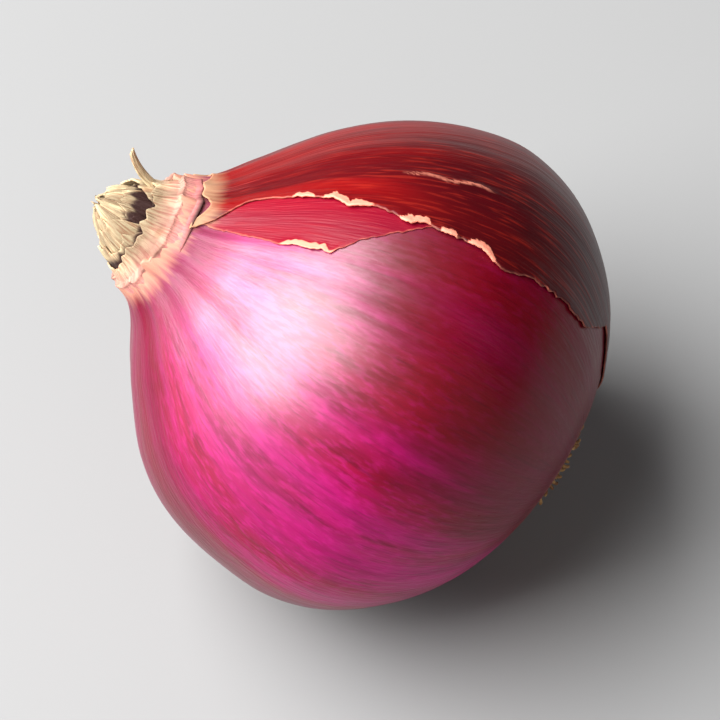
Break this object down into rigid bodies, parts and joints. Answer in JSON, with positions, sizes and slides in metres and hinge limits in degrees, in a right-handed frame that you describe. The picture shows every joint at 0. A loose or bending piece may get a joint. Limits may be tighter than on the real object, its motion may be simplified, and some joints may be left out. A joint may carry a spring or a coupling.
{
  "type": "pink shallot",
  "caption": "Whole pink shallot lying on its side: a round bulb drawn in to a dry cream neck, a torn redder outer skin over its upper side, and a tuft of short dry roots.",
  "frame": {"origin": "middle of the small flat spot that the shallot rests on", "axes": "-Z out of the flat spot, into the surface; the neck points to -X and up, and the roots to +X"},
  "size_m": [0.0346, 0.0349, 0.0327],
  "materials": {
    "pink_skin": "thin smooth skin with a satin shine, magenta pink with faint lengthwise veins, paler at the neck and the roots",
    "dry_outer_skin": "thin dry skin with a low shine, brick red to maroon with lengthwise veins and pale torn edges",
    "dry_neck": "papery dry leaf, cream with tan edges, no shine",
    "dry_roots": "dry brown root threads on a tan root plate, no shine"
  },
  "bodies": {
    "root": {"bulb": "pink_skin", "outer_skin": "dry_outer_skin", "neck_tips": "dry_neck", "root_tuft": "dry_roots"}
  },
  "joints": []
}
